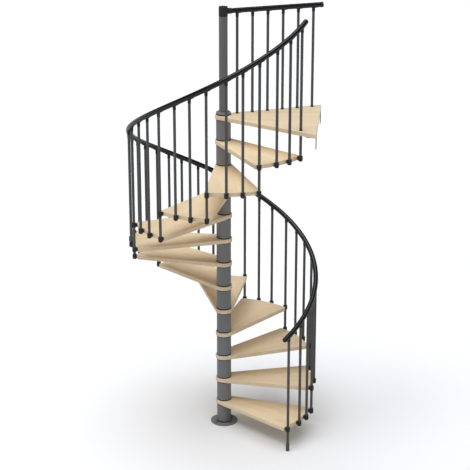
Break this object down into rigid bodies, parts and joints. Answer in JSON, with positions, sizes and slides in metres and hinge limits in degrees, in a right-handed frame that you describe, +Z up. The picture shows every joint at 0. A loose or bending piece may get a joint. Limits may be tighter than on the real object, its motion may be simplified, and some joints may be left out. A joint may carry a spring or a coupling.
{
  "type": "spiral staircase",
  "caption": "Spiral staircase with timber treads and landing on a central steel column, slim round balusters clipped to the tread edges and a helical black handrail.",
  "frame": {"origin": "centre of the base plate's underside, on the column's axis at floor level", "axes": "+Z up along the column; +X square to the landing's fixing edge, towards the upper floor; the flight rises anticlockwise seen from above"},
  "size_m": [1.5709, 1.5706, 3.607],
  "materials": {
    "beech": "clear matt varnish on light beech",
    "column_grey": "satin grey powder coat on steel",
    "bar_grey": "satin dark grey powder coat on steel",
    "black_plastic": "moulded black plastic",
    "rail_black": "semi-gloss black plastic sleeve on a tube"
  },
  "bodies": {
    "root": {"base_plate": "column_grey", "centre_pole": "column_grey", "column_spacers": "column_grey", "centring_rings": "black_plastic", "top_collar": "column_grey", "tread_01": "beech", "tread_02": "beech", "tread_03": "beech", "tread_04": "beech", "tread_05": "beech", "tread_06": "beech", "tread_07": "beech", "tread_08": "beech", "tread_09": "beech", "tread_10": "beech", "tread_11": "beech", "tread_12": "beech", "landing": "beech", "fixing_brackets": "column_grey", "tread_clips": "black_plastic", "baluster_foot": "bar_grey", "balusters_01": "bar_grey", "balusters_02": "bar_grey", "balusters_03": "bar_grey", "balusters_04": "bar_grey", "balusters_05": "bar_grey", "balusters_06": "bar_grey", "balusters_07": "bar_grey", "balusters_08": "bar_grey", "balusters_09": "bar_grey", "balusters_10": "bar_grey", "balusters_11": "bar_grey", "balusters_12": "bar_grey", "last_baluster": "bar_grey", "baluster_tips": "black_plastic", "handrail": "rail_black", "landing_balusters": "bar_grey", "landing_collars": "black_plastic", "landing_tips": "black_plastic", "landing_rail": "rail_black", "rail_sleeve": "black_plastic", "newel_cap": "black_plastic", "handrail_plugs": "black_plastic", "landing_rail_plug": "black_plastic"}
  },
  "joints": []
}
